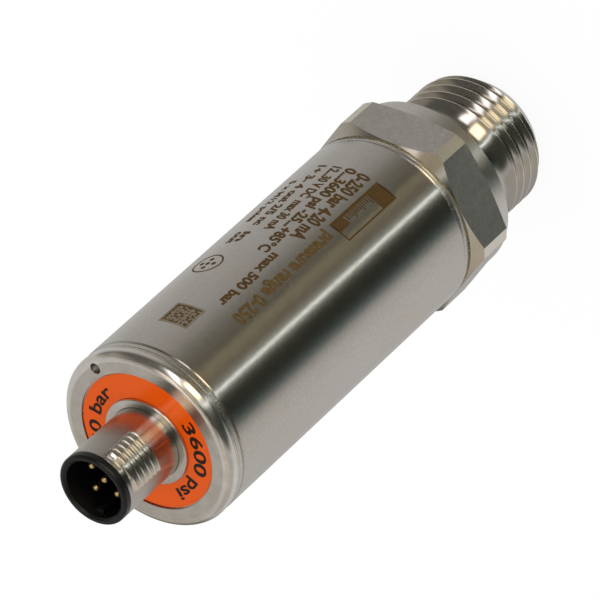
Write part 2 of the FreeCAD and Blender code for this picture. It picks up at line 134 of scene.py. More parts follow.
SEAM_STEP = 0.1                   # of the cap's wall, inside the tube's surface
SEAM_DEPTH = 0.15
SEAM_GAP = 0.01                   # of the seam's foot, above the tube
SEAM_MOUTH = 0.16                 # of the seam's top, above the tube
FINE_GROOVE = (80.18, 80.26, 80.34)   # heights of its lower edge, bottom and upper edge
FINE_GROOVE_DEPTH = 0.13
CAP_SHOULDER = 80.75
SHOULDER_GROOVE = (-0.10, -0.04, 0.02)   # the same three heights, from the shoulder
SHOULDER_GROOVE_DEPTH = 0.10
SHOULDER_INSET = 0.06             # of the shoulder's lower edge, inside the tube's surface
CAP_RIM = 82.4
CAP_EDGE_ROUND = 1.3
CAP_EDGE_STEPS = 16
CAP_UNDERSIDE = 78.4
CAP_SKIRT_BOTTOM = 76.4
CAP_SKIRT_BORE = 11.16
RECESS_RADIUS = 10.45
RECESS_CHAMFER = 0.06
RECESS_FLOOR = 81.95
HUB_RADIUS = 6.53
HUB_EDGE_ROUND = 0.2
SLEEVE_HOLE_RADIUS = 5.38
SLEEVE_HOLE_CHAMFER = 0.05
PINHOLE_PLACE = (11.8, 348.0)     # distance from the axis and angle
PINHOLE_RADIUS = 0.8
PINHOLE_DEPTH = 1.6
PINHOLE_CONE = 0.48               # depth of the cone below
PINHOLE_SIDES = 40

SLEEVE_RADIUS = 5.35
SLEEVE_BORE = 4.85
SLEEVE_CHAMFER = 0.06
FLANGE_RADIUS = 7.0
PLUG_THREAD_RADIUS = 6.0
PLUG_THREAD_PITCH = 1.0
PLUG_THREAD_DEPTH = 0.61
PLUG_CREST_HALF = 0.07
PLUG_FLANK_WIDTH = 0.33
PLUG_THREAD_BOTTOM = 86.9
PLUG_THREAD_TOP = 92.6
PLUG_THREAD_START = 0.25          # height of a ridge at the ends of the field
PLUG_THREAD_MIDDLE = 261.0        # angle of one field's middle; the other lies opposite
PLUG_THREAD_HALF_SECTOR = 36.0
PLUG_FIELD_SLOPE = 5.0            # over which a field rises at its sides, in degrees
PLUG_THREAD_CREST_HEIGHT = 0.525  # of one crest at the +X axis
PLUG_TURNS = range(85, 93)        # all turns that reach a field at some angle

# ---- How finely the bodies are made
AROUND = 240                      # columns of a turned body
SHARP_ANGLE = 24.0                # between faces, from which an edge stays sharp
STRIP = 0.4                       # width of the strips in which marks are bent


# ---- Shader arithmetic
class Signal:
    """A value that varies over a surface. Arithmetic on it adds Math nodes."""

    def __init__(self, nodes, socket):
        self.nodes = nodes
        self.socket = socket

    def _math(self, operation, *values):
        return self.nodes.add("ShaderNodeMath", {"operation": operation}, dict(enumerate(values)))["Value"]

    def __add__(self, other):
        return self._math("ADD", self, other)

    def __sub__(self, other):
        return self._math("SUBTRACT", self, other)

    def __rsub__(self, other):
        return self._math("SUBTRACT", other, self)

    def __mul__(self, other):
        return self._math("MULTIPLY", self, other)

    def __truediv__(self, other):
        return self._math("DIVIDE", self, other)

    def __rtruediv__(self, other):
        return self._math("DIVIDE", other, self)

    def __neg__(self):
        return self * -1.0

    __radd__ = __add__
    __rmul__ = __mul__

    def root(self):
        return self._math("SQRT", self)

    def angle_from(self, other):
        """Degrees from the direction of other towards the direction of self."""
        return self._math("ARCTAN2", self, other) * (180.0 / math.pi)

    def rise(self, start, end):
        """0 up to start, 1 from end on, smooth between them."""
        settings = {"interpolation_type": "SMOOTHSTEP"}
        sockets = {"Value": self, "From Min": start, "From Max": end}
        return self.nodes.add("ShaderNodeMapRange", settings, sockets)["Result"]

    def band(self, start, end, softness):
        """1 between start and end, half of that at both, with fades that are twice the softness wide."""
        after_start = self.rise(start - softness, start + softness)
        return after_start * (1 - self.rise(end - softness, end + softness))


class Outputs:
    """The outputs of one node, by name or number."""

    def __init__(self, nodes, node):
        self.nodes = nodes
        self.node = node

    def __getitem__(self, key):
        return Signal(self.nodes, self.node.outputs[key])


class Nodes:
    """The node tree of one finish, or of the studio around the part."""

    def __init__(self, tree):
        self.tree = tree
        tree.nodes.clear()

    def add(self, kind, settings=None, sockets=None):
        node = self.tree.nodes.new(kind)
        for name, value in (settings or {}).items():
            if name == "stops":
                elements = node.color_ramp.elements
                while len(elements) < len(value):
                    elements.new(0.5)
                for element, (position, colour) in zip(elements, value):
                    element.position = position
                    element.color = (*colour, 1.0)
            elif name == "ramp":
                node.color_ramp.interpolation = value
            else:
                setattr(node, name, value)
        for key, value in (sockets or {}).items():
            socket = node.inputs[key]
            if isinstance(value, Signal):
                self.tree.links.new(value.socket, socket)
            else:
                socket.default_value = value
        return Outputs(self, node)

    def mix(self, factor, first, second):
        """Colour between first and second; plain colours are given as three numbers."""
        colours = [value if isinstance(value, Signal) else (*value, 1.0) for value in (first, second)]
        sockets = {0: factor, 6: colours[0], 7: colours[1]}
        return self.add("ShaderNodeMix", {"data_type": "RGBA"}, sockets)[2]

    def shade(self, colour, factor):
        """Colour made lighter or darker by a varying factor."""
        grey = self.add("ShaderNodeCombineXYZ", None, {"X": factor, "Y": factor, "Z": factor})["Vector"]
        return self.add("ShaderNodeVectorMath", {"operation": "MULTIPLY"}, {0: colour, 1: grey})["Vector"]

    def place(self):
        """Position on the part in millimetres."""
        point = self.add("ShaderNodeTexCoord")["Object"]
        split = self.add("ShaderNodeSeparateXYZ", None, {"Vector": point})
        return [split[axis] * (1 / MM) for axis in "XYZ"]

    def noise(self, x, y, z, detail, roughness):
        point = self.add("ShaderNodeCombineXYZ", None, {"X": x, "Y": y, "Z": z})["Vector"]
        sockets = {"Vector": point, "Scale": 1.0, "Detail": detail, "Roughness": roughness}
        return self.add("ShaderNodeTexNoise", None, sockets)["Fac"]

    def bump(self, height, depth_mm):
        sockets = {"Height": height, "Strength": 1.0, "Distance": depth_mm * MM}
        return self.add("ShaderNodeBump", None, sockets)["Normal"]


def finish(name, **constants):
    """New material with its shader: returns it, its nodes and a function that plugs in what varies."""
    material = bpy.data.materials.new(name)
    material.use_nodes = True
    nodes = Nodes(material.node_tree)
    shader = nodes.add("ShaderNodeBsdfPrincipled")
    nodes.add("ShaderNodeOutputMaterial", None, {"Surface": shader["BSDF"]})
    for key, value in constants.items():
        shader.node.inputs[key.replace("_", " ")].default_value = value

    def plug(**signals):
        for key, value in signals.items():
            nodes.tree.links.new(value.socket, shader.node.inputs[key.replace("_", " ")])
    return material, nodes, plug


STREAK = 0.35                     # how far the roughness of steel varies
WARM_TINT = (1.0, 0.95, 0.86)     # of steel, in places
WARM_SCALE = (0.12, 0.09)         # density of those places, across the axis and along it
SPECK_SCALE = 4.0
SPECK_EDGE = (0.64, 0.72)         # of the noise, between which a speck begins


def steel(name, colour, roughness, cloud=0.08, grain=6.0, relief=0.0004, along=0.75, stain=0.08,
          stain_scale=0.5, around=0.45, specks=0.0):
    """Stainless steel: fine rings round the axis, a warmer tone in places, stains and bright specks.

    grain and around are the density of the rings, across and along them, and relief is their depth in
    millimetres. cloud, stain and specks say how much rings, stains and specks change the tone, and along is
    the anisotropy.
    """
    material, nodes, plug = finish(name, Metallic=1.0, Anisotropic=along, Anisotropic_Rotation=0.25)
    x, y, z = nodes.place()
    radius = (x * x + y * y).root()
    across, lengthwise = WARM_SCALE
    rings = nodes.noise(x * around, y * around, (z + radius) * grain, 3.0, 0.75)
    patches = nodes.noise(x * across, y * across, z * lengthwise, 2.0, 0.5)
    stains = nodes.noise(x * stain_scale, y * stain_scale, z * stain_scale, 5.0, 0.65)
    points = nodes.noise(x * SPECK_SCALE, y * SPECK_SCALE, z * SPECK_SCALE, 2.0, 0.5).rise(*SPECK_EDGE)
    tinted = nodes.mix((patches - 0.35) * 1.2, colour, [c * t for c, t in zip(colour, WARM_TINT)])
    tone = 1.0 + (rings - 0.5) * cloud * 2 + (stains - 0.5) * stain * 2 + points * specks
    plug(Base_Color=nodes.shade(tinted, tone),
         Roughness=roughness * (1.0 + (rings - 0.5) * STREAK + (patches - 0.5) * STREAK),
         Normal=nodes.bump(rings, relief))
    return material


def plain_finish(name, colour, roughness, speckle=0.12, scale=3.0, relief=0.002, **constants):
    """Moulded, laminated or plated surface with a fine uneven skin."""
    material, nodes, plug = finish(name, **constants)
    x, y, z = nodes.place()
    skin = nodes.noise(x * scale, y * scale, z * scale, 3.0, 0.6)
    plug(Base_Color=nodes.shade(colour, 1.0 + (skin - 0.5) * speckle),
         Roughness=roughness * (1.0 + (skin - 0.5) * 0.4), Normal=nodes.bump(skin, relief))
    return material


turned_steel = steel("turned stainless steel", (0.63, 0.61, 0.57), 0.16, along=0.4, grain=5.0)
# Crest lands: rougher steel whose colour is painted much lighter than the stud's, as a highlight on the
# crest lines
crest_highlight_steel = steel("thread crest with painted highlight", (0.92, 0.88, 0.76), 0.34, along=0.0, grain=5.0)
collar_steel = steel("turned collar", (0.74, 0.73, 0.69), 0.29, along=0.0, grain=5.0)
tube_steel = steel("ground stainless tube", (0.62, 0.60, 0.56), 0.19, grain=4.0, cloud=0.14, relief=0.007,
                   stain=0.10, stain_scale=2.6, around=1.6, specks=0.15)
cap_steel = steel("turned cap steel", (0.70, 0.68, 0.64), 0.25, along=0.4, grain=5.0, relief=0.002,
                  stain=0.25, stain_scale=0.4)
# Rounded shoulder of the cap: smoother steel whose colour is painted lighter than the cap's, as a highlight
shoulder_highlight_steel = steel("polished cap shoulder with painted highlight", (0.84, 0.82, 0.77), 0.205, along=0.3, grain=5.0, stain=0.2)
milled_steel = steel("milled stainless flat", (0.60, 0.59, 0.555), 0.34, along=0.0, grain=1.0, cloud=0.05,
                     stain=0.3, stain_scale=1.3, specks=0.5)
corner_steel = steel("turned hexagon corner", (0.90, 0.88, 0.80), 0.42, along=0.0, grain=3.0, cloud=0.12)
weld_steel = steel("rippled weld bead", (0.66, 0.64, 0.60), 0.27, along=0.0, grain=0.4, relief=0.02,
                   stain=0.2, stain_scale=2.0, around=2.5)
sleeve_steel = steel("turned plug sleeve", (0.56, 0.54, 0.50), 0.24, along=0.88)
# Threaded fields of the sleeve: smoother steel whose colour is painted lighter than the sleeve's, as a
# highlight on the ridges
plug_thread_highlight_steel = steel("plug thread with painted highlight", (0.84, 0.81, 0.75), 0.18, along=0.5)
cell_steel = steel("ground cell steel", (0.55, 0.55, 0.55), 0.3)
can_steel = steel("crystal can", (0.60, 0.60, 0.60), 0.25)
label_film = plain_finish("orange printed film", (0.845, 0.094, 0.003), 0.13, speckle=0.05, scale=1.0,
                          relief=0.0003, Specular_Tint=(1.0, 0.95, 0.4, 1.0))
label_ink = plain_finish("black ink", (0.022, 0.009, 0.004), 0.3, relief=0.0003, Specular_IOR_Level=0.2)
laser_mark = plain_finish("brown laser mark", (0.080, 0.043, 0.011), 0.6, speckle=1.0, scale=2.5,
                          Specular_IOR_Level=0.1)
light_mark = plain_finish("golden laser mark", (0.105, 0.064, 0.020), 0.6, speckle=1.3, scale=2.0,
                          Specular_IOR_Level=0.1)
laser_tint = plain_finish("tan laser tint", (0.18, 0.15, 0.105), 0.6, speckle=0.8, scale=1.2,
                          Specular_IOR_Level=0.1)
seal_rubber = plain_finish("black seal rubber", (0.018, 0.018, 0.018), 0.6)
# Black plastic of the insert, its colour made darker still as painted shade inside the plug
plug_plastic_and_shade = plain_finish("black plug plastic with painted shade", (0.004, 0.004, 0.004), 0.36, relief=0.0008,
                            Specular_IOR_Level=0.4)
contact_gold = plain_finish("gold plating", (0.95, 0.72, 0.36), 0.3, speckle=0.1, relief=0.0003,
                            Metallic=1.0)
board_green = plain_finish("green board", (0.02, 0.16, 0.06), 0.35)
header_black = plain_finish("black header plastic", (0.02, 0.02, 0.02), 0.5)
carrier_grey = plain_finish("grey carrier plastic", (0.30, 0.30, 0.29), 0.5)
lead_amber = plain_finish("amber flexible lead", (0.50, 0.20, 0.03), 0.25)
package_black = plain_finish("black chip package", (0.02, 0.02, 0.022), 0.55)
capacitor_tan = plain_finish("tan capacitor ceramic", (0.42, 0.29, 0.17), 0.45)

for node, material in {
    "port_seal": seal_rubber, "connector_o_ring": seal_rubber, "range_label": label_film,
    "connector_insert": plug_plastic_and_shade, "connector_board": board_green, "main_board": board_green,
    "cell_board": board_green, "board_header": header_black, "board_carrier": carrier_grey,
    "pressure_cell": cell_steel, "flex_lead": lead_amber, "signal_amplifier": package_black,
    "microcontroller": package_black, "output_driver": package_black, "voltage_regulator": package_black,
    "surge_diodes": package_black, "clock_crystal": can_steel, "filter_capacitors": capacitor_tan,
    **{f"contact_pin_{number}": contact_gold for number in range(1, 6)},
}.items():
    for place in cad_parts[node].material_slots:
        place.material = material


# ---- Meshes that are turned, with a section that may change round the axis
def arc(centre, radius, start, end, steps):
    """Points of an arc in the half section, angles in degrees from the radial direction."""
    turns = [math.radians(start + (end - start) * n / steps) for n in range(steps + 1)]
    return [(centre[0] + radius * math.cos(t), centre[1] + radius * math.sin(t)) for t in turns]


def even_angles(kept=()):
    """Angles all the way round, with the nearest ones moved onto the angles to be kept."""
    angles = [360.0 * n / AROUND for n in range(AROUND + 1)]
    for wanted in kept:
        nearest = min(range(1, AROUND), key=lambda n: abs(angles[n] - wanted % 360))
        angles[nearest] = wanted % 360
    return sorted(angles)


def sectioned(name, angles, section, materials, slot_of=None):
    """Closed body whose half section at each angle is section(angle), a loop of (radius, height).

    A row is what one side of the loop makes, from the point with the row's number to the next point.
    slot_of says which of the materials a row has at an angle.
    """
    mesh = bmesh.new()
    columns = []
    for angle in angles:
        turn = math.radians(angle)
        columns.append([mesh.verts.new((r * math.cos(turn) * MM, r * math.sin(turn) * MM, z * MM))
                        for r, z in section(angle)])
    for left, right, angle, next_angle in zip(columns, columns[1:], angles, angles[1:]):
        for row in range(len(left)):
            after = (row + 1) % len(left)
            face = mesh.faces.new((left[row], right[row], right[after], left[after]))
            face.material_index = slot_of(row, (angle + next_angle) / 2) if slot_of else 0
    bmesh.ops.remove_doubles(mesh, verts=mesh.verts, dist=4e-7)
    bmesh.ops.dissolve_degenerate(mesh, edges=mesh.edges, dist=1e-7)
    return body(name, mesh, materials)


def smooth(data):
    """Smooth shading, with an edge that stays sharp where faces meet at SHARP_ANGLE or more."""
    data.shade_smooth()
    data.set_sharp_from_angle(angle=math.radians(SHARP_ANGLE))


def body(name, mesh, materials):
    """Turns a mesh into an object that rides on the part."""
    bmesh.ops.recalc_face_normals(mesh, faces=mesh.faces)
    data = bpy.data.meshes.new(name)
    mesh.to_mesh(data)
    mesh.free()
    for material in materials:
        data.materials.append(material)
    smooth(data)
    made = bpy.data.objects.new(name, data)
    scene.collection.objects.link(made)
    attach(made, "root")
    return made


# ---- Process connection: threaded stud, neck, collar, hexagon and weld ring
def flank_drops():
    """Offsets and depths down one flank, which grows steeper from the crest to the root."""
    offset, drop = THREAD_CREST_HALF, 0.0
    points = [(offset, drop)]
    width = (THREAD_PITCH / 2 - THREAD_CREST_HALF - THREAD_ROOT_HALF) / THREAD_FLANK_STEPS
    start, end = THREAD_FLANK_STEEPNESS
    for n in range(THREAD_FLANK_STEPS):
        drop += width * math.tan(math.radians(start + (end - start) * (n + 0.5) / THREAD_FLANK_STEPS))
        offset += width
        points.append((offset, drop))
    return points


flank = flank_drops()
half_turn = [(0.0, 0.0), *flank, (THREAD_PITCH / 2, flank[-1][1] + THREAD_ROOT_DIP)]
one_turn = half_turn[:-1] + [(THREAD_PITCH - offset, drop) for offset, drop in reversed(half_turn[1:])]

neck_round = (THREAD_RADIUS - NECK_RADIUS) / (1 - math.cos(math.radians(RUNOUT_SLOPE)))
runout_length = neck_round * math.sin(math.radians(RUNOUT_SLOPE))


def last_crest(turned):
    """Height of the last crest at an angle that may count on past 360."""
    return LAST_CREST_HEIGHT + THREAD_PITCH * (turned - LAST_CREST_ANGLE) / 360


def runout_start(turned):
    """Follows the last crest for most of a turn, then drops back to where it began."""
    leave, back = RUNOUT_RETURN
    if turned <= leave:
        return last_crest(turned) + RUNOUT_DELAY
    part = (turned - leave) / (back - leave)
    return (1 - part) * last_crest(leave) + part * last_crest(back - 360) + RUNOUT_DELAY


def stud_limit(height, start):
    """Radius that the lead-in cone and the rounded run-out leave of the thread."""
    if height < LEAD_IN_HEIGHT:
        return LEAD_IN_RADIUS + (THREAD_RADIUS - LEAD_IN_RADIUS) * height / LEAD_IN_HEIGHT
    if height <= start:
        return THREAD_RADIUS
    left = max(start + runout_length - height, 0.0)
    return NECK_RADIUS + neck_round - math.sqrt(neck_round ** 2 - left ** 2)


thread_rows = [(turn_number * THREAD_PITCH + offset, drop) for turn_number in THREAD_TURNS
               for offset, drop in one_turn]


def unwound(angle):
    """The same angle, counted on past 360 up to where the run-out has dropped back."""
    return angle if angle >= RUNOUT_RETURN[1] - 360 else angle + 360


def row_height(row_start, angle):
    return THREAD_CREST_HEIGHT + row_start + THREAD_PITCH * angle / 360


def stud_thread(angle):
    turned = unwound(angle)
    start = runout_start(turned)
    points = []
    for row_start, drop in thread_rows:
        height = row_height(row_start, angle)
        kept = min(max(height, thread_end), THREAD_ROWS_TOP)
        limit = stud_limit(kept, start)
        if kept == height and height < last_crest(turned):
            limit = min(THREAD_RADIUS - drop, limit)
        points.append((limit, kept))
    return points


def hexagon_radius(angle):
    from_flat = (angle - HEXAGON_TURN + 30) % 60 - 30
    return min(HEXAGON_HALF_WIDTH / math.cos(math.radians(from_flat)), HEXAGON_CORNER_RADIUS)


bevel_start = HEXAGON_HALF_WIDTH - BEVEL_FOOT


def connection_section(angle):
    reach = hexagon_radius(angle)
    lower = HEXAGON_BOTTOM + (reach - bevel_start) * math.tan(math.radians(LOWER_BEVEL))
    upper = HEXAGON_TOP - (reach - bevel_start) * math.tan(math.radians(UPPER_BEVEL))
    point_top = PORT_DEPTH + (PORT_RADIUS - CHANNEL_RADIUS) / math.tan(math.radians(DRILL_POINT))
    groove_top = COLLAR_BOTTOM + SEAL_GROOVE_DEPTH
    weld_end = tube_radius - WELD_RING_STEP
    weld_top = tube_bottom - WELD_SINK
    crown_middle = (tube_radius - WELD_CROWN_RADIUS, WELD_RING_BOTTOM + WELD_CROWN_MIDDLE)
    return [
        (CHANNEL_RADIUS, CELL_SEAT_TOP), (CHANNEL_RADIUS, point_top), (PORT_RADIUS, PORT_DEPTH),
        (PORT_RADIUS, thread_end + PORT_CHAMFER), (PORT_RADIUS + PORT_CHAMFER, thread_end),
        *stud_thread(angle),
        (NECK_RADIUS, groove_top), (SEAL_GROOVE_RADIUS, groove_top), (SEAL_GROOVE_RADIUS, COLLAR_BOTTOM),
        (COLLAR_RADIUS - COLLAR_CHAMFER, COLLAR_BOTTOM), (COLLAR_RADIUS, COLLAR_BOTTOM + COLLAR_CHAMFER),
        (COLLAR_RADIUS, HEXAGON_BOTTOM),
        (reach, lower), (reach, upper), (bevel_start, HEXAGON_TOP),
        (RELIEF_RADIUS, HEXAGON_TOP), (RELIEF_RADIUS, WELD_RING_BOTTOM),
        (weld_end, WELD_RING_BOTTOM),
        *arc(crown_middle, WELD_CROWN_RADIUS, -WELD_CROWN_REACH, WELD_CROWN_REACH, WELD_CROWN_STEPS),
        (weld_end, weld_top),
        (SPIGOT_RADIUS, weld_top), (SPIGOT_RADIUS, SPIGOT_TOP),
        (CELL_SEAT_RADIUS, SPIGOT_TOP), (CELL_SEAT_RADIUS, CELL_SEAT_TOP),
    ]


# Where a flat of the hexagon ends and its turned corner begins
flat_half = math.degrees(math.acos(HEXAGON_HALF_WIDTH / HEXAGON_CORNER_RADIUS))
flat_edges = [HEXAGON_TURN + 60 * side + way * flat_half for side in range(6) for way in (-1, 1)]

# Rows of connection_section, counted in the order of its points
FIRST_THREAD_ROW = 5
collar_row = FIRST_THREAD_ROW + len(thread_rows) + 4
hexagon_row = collar_row + 2
relief_rows = range(hexagon_row + 2, hexagon_row + 5)
weld_rows = range(relief_rows.stop, relief_rows.stop + WELD_CROWN_STEPS + 3)
TURNED, FLAT, CORNER, CREST, WELD, COLLAR = range(6)


def on_crest(row, angle):
    """Whether a face of the stud is the land on top of a ridge."""
    if not 0 <= row < len(thread_rows) or row % len(one_turn) not in (0, len(one_turn) - 1):
        return False
    return row_height(thread_rows[row][0], angle) < last_crest(unwound(angle))


def connection_slot(row, angle):
    if row == hexagon_row:
        return FLAT if hexagon_radius(angle) < HEXAGON_CORNER_RADIUS - 1e-6 else CORNER
    if row in weld_rows:
        return WELD
    if row == collar_row:
        return COLLAR
    # The hexagon's top face, the relief groove and the ring's underside take the light corner steel as
    # painted light against the shade in the groove
    if row in relief_rows:
        return CORNER
    return CREST if on_crest(row - FIRST_THREAD_ROW, angle) else TURNED


connection = sectioned("process_connection_turned", even_angles(flat_edges), connection_section,
                       [turned_steel, milled_steel, corner_steel, crest_highlight_steel, weld_steel, collar_steel],
                       connection_slot)
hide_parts("process_connection")


# ---- Housing tube
def tube_section(angle):
    bore = tube_radius - TUBE_WALL
    edge, half_round = TUBE_EDGE_ROUND, TUBE_EDGE_INSET
    step = (tube_top - tube_bottom) / TUBE_LEVELS
    return [
        (bore, tube_bottom), (tube_radius - edge, tube_bottom),
        (tube_radius - half_round, tube_bottom + half_round), (tube_radius, tube_bottom + edge),
        *[(tube_radius, tube_bottom + step * n) for n in range(1, TUBE_LEVELS)],
        (tube_radius, tube_top - edge), (tube_radius - half_round, tube_top - half_round),
        (tube_radius - edge, tube_top), (bore, tube_top),
    ]


tube = sectioned("housing_tube_ground", even_angles(), tube_section, [tube_steel])
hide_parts("housing_tube")


# ---- End cap with its seam, rounded shoulder, label recess, hub and pinhole
def cap_section(angle):
    wall = tube_radius - SEAM_STEP
    seam_foot = tube_top + SEAM_GAP
    groove_foot, groove_bottom, groove_end = FINE_GROOVE
    under_foot, under_bottom, under_end = SHOULDER_GROOVE
    edge, hub_edge = CAP_EDGE_ROUND, HUB_EDGE_ROUND
    return [
        (SLEEVE_HOLE_RADIUS, CAP_UNDERSIDE), (CAP_SKIRT_BORE, CAP_UNDERSIDE),
        (CAP_SKIRT_BORE, CAP_SKIRT_BOTTOM), (SPIGOT_RADIUS, CAP_SKIRT_BOTTOM),
        (SPIGOT_RADIUS, seam_foot), (wall - SEAM_DEPTH, seam_foot), (wall, tube_top + SEAM_MOUTH),
        (wall, groove_foot), (wall - FINE_GROOVE_DEPTH, groove_bottom), (wall, groove_end),
        (wall, CAP_SHOULDER + under_foot), (wall - SHOULDER_GROOVE_DEPTH, CAP_SHOULDER + under_bottom),
        (tube_radius - SHOULDER_INSET, CAP_SHOULDER + under_end),
        *arc((tube_radius - edge, CAP_RIM - edge), edge, 0, 90, CAP_EDGE_STEPS),
        (RECESS_RADIUS + RECESS_CHAMFER, CAP_RIM), (RECESS_RADIUS, CAP_RIM - RECESS_CHAMFER),
        (RECESS_RADIUS, RECESS_FLOOR), (HUB_RADIUS, RECESS_FLOOR),
        *arc((HUB_RADIUS - hub_edge, hub_top - hub_edge), hub_edge, 0, 90, 4),
        (SLEEVE_HOLE_RADIUS + SLEEVE_HOLE_CHAMFER, hub_top),
        (SLEEVE_HOLE_RADIUS, hub_top - SLEEVE_HOLE_CHAMFER),
    ]


# Rows of cap_section: the land between its seam and its fine groove, and its rounded shoulder
SEAM_LAND_ROW = 6
shoulder_rows = range(SEAM_LAND_ROW + 6, SEAM_LAND_ROW + 7 + CAP_EDGE_STEPS)
CAP, SEAM_LAND, SHOULDER = range(3)


def cap_slot(row, angle):
    if row in shoulder_rows:
        return SHOULDER
    return SEAM_LAND if row == SEAM_LAND_ROW else CAP


def pinhole_drill():
    """Body of the drill that makes the blind hole in the rim, with its cone."""
    mesh = bmesh.new()
    reach, angle = PINHOLE_PLACE[0] * MM, math.radians(PINHOLE_PLACE[1])
    spot = Vector((reach * math.cos(angle), reach * math.sin(angle), 0.0))
    bottom = (CAP_RIM - PINHOLE_DEPTH) * MM
    over_rim = (CAP_RIM + 1.0) * MM
    radius = PINHOLE_RADIUS * MM
    point = mesh.verts.new(spot + Vector((0, 0, bottom - PINHOLE_CONE * MM)))
    turns = [math.tau * n / PINHOLE_SIDES for n in range(PINHOLE_SIDES)]
    levels = []
    for height in (bottom, over_rim):
        levels.append([mesh.verts.new(spot + Vector((radius * math.cos(t), radius * math.sin(t), height)))
                       for t in turns])
    for n in range(PINHOLE_SIDES):
        after = (n + 1) % PINHOLE_SIDES
        mesh.faces.new((levels[0][n], levels[0][after], levels[1][after], levels[1][n]))
        mesh.faces.new((point, levels[0][after], levels[0][n]))
    mesh.faces.new(levels[1])
    bmesh.ops.recalc_face_normals(mesh, faces=mesh.faces)
    data = bpy.data.meshes.new("drill")
    mesh.to_mesh(data)
    mesh.free()
    drill = bpy.data.objects.new("drill", data)
    scene.collection.objects.link(drill)
    return drill


def drilled(target, drill):
    """Cuts the drill out of the target and removes the drill."""
    cut = target.modifiers.new("pinhole", "BOOLEAN")
    cut.operation = "DIFFERENCE"
    cut.solver = "EXACT"
    cut.object = drill
    shown = target.evaluated_get(bpy.context.evaluated_depsgraph_get())
    data = bpy.data.meshes.new_from_object(shown)
    target.modifiers.clear()
    target.data = data
    smooth(data)
    bpy.data.objects.remove(drill)


cap = sectioned("end_cap_turned", even_angles(), cap_section, [cap_steel, weld_steel, shoulder_highlight_steel],
                cap_slot)
drilled(cap, pinhole_drill())
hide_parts("end_cap")

# ---- Plug sleeve with its two threaded fields
# Distances of a turn's rows from its crest
PLUG_ROW_OFFSETS = (0.0, 0.05, 0.09, 0.19, 0.29, 0.39, 0.45, 0.5, 0.55, 0.61, 0.71, 0.81, 0.91, 0.95)
plug_rows = [turn_number * PLUG_THREAD_PITCH + offset for turn_number in PLUG_TURNS
             for offset in PLUG_ROW_OFFSETS]


def plug_depth(row_start):
    """Depth below the crests, from how far a row lies from the nearest crest."""
    half_pitch = PLUG_THREAD_PITCH / 2
    from_crest = abs((row_start + half_pitch) % PLUG_THREAD_PITCH - half_pitch)
    return PLUG_THREAD_DEPTH * min(max((from_crest - PLUG_CREST_HALF) / PLUG_FLANK_WIDTH, 0.0), 1.0)


def plug_field(angle):
    """How far a threaded field stands out at an angle: 1 inside, 0 outside, rounded off between them."""
    from_middle = abs((angle - PLUG_THREAD_MIDDLE + 90) % 180 - 90)
    left = min(max((PLUG_THREAD_HALF_SECTOR - from_middle) / PLUG_FIELD_SLOPE, 0.0), 1.0)
    return math.sqrt(1 - (1 - left) ** 2)


def plug_thread(angle):
    points = []
    for row_start in plug_rows:
        height = PLUG_THREAD_CREST_HEIGHT + row_start + PLUG_THREAD_PITCH * angle / 360
        kept = min(max(height, PLUG_THREAD_BOTTOM), PLUG_THREAD_TOP)
        from_end = min(kept - PLUG_THREAD_BOTTOM, PLUG_THREAD_TOP - kept)
        ridge_limit = SLEEVE_RADIUS + PLUG_THREAD_START + from_end
        reach = min(PLUG_THREAD_RADIUS - plug_depth(row_start), ridge_limit)
        if kept != height:
            reach = SLEEVE_RADIUS
        points.append((SLEEVE_RADIUS + max(reach - SLEEVE_RADIUS, 0.0) * plug_field(angle), kept))
    return points


def sleeve_section(angle):
    return [
        (SLEEVE_BORE, sleeve_foot), (FLANGE_RADIUS, sleeve_foot), (FLANGE_RADIUS, CAP_UNDERSIDE),
        (SLEEVE_RADIUS, CAP_UNDERSIDE), *plug_thread(angle), (SLEEVE_RADIUS, sleeve_top - SLEEVE_CHAMFER),
        (SLEEVE_RADIUS - SLEEVE_CHAMFER, sleeve_top), (SLEEVE_BORE, sleeve_top),
    ]


# Where the sides of a field meet the plain sleeve, and a second angle just inside the field
field_edges = [PLUG_THREAD_MIDDLE + 180 * side + way * (PLUG_THREAD_HALF_SECTOR - inside)
               for side in (0, 1) for way in (-1, 1) for inside in (0.0, 0.4)]
FIRST_PLUG_ROW = 4                # of sleeve_section
plug_thread_rows = range(FIRST_PLUG_ROW, FIRST_PLUG_ROW + len(plug_rows) - 1)
SLEEVE, FIELD = range(2)


def sleeve_slot(row, angle):
    return FIELD if row in plug_thread_rows and plug_field(angle) > 0 else SLEEVE


sleeve = sectioned("connector_sleeve_turned", even_angles(field_edges), sleeve_section,
                   [sleeve_steel, plug_thread_highlight_steel], sleeve_slot)
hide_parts("connector_sleeve")


# ---- Lettering and marks
FONT_DIGIT_HEIGHT = 0.72          # of the built-in font at size 1
MARK_WEIGHT = 0.042               # how far the outlines of letters grow, at size 1
SMALL_MARK_WEIGHT = 0.040
LABEL_WEIGHT = 0.022
LABEL_INK_GAP = 0.003
LABEL_INK_THICKNESS = 0.012
LABEL_TEXT_RADIUS = 7.55          # of the line on which the label's letters stand
LABEL_LETTER_MIDDLE = 0.9         # above that line, where the letters keep their width


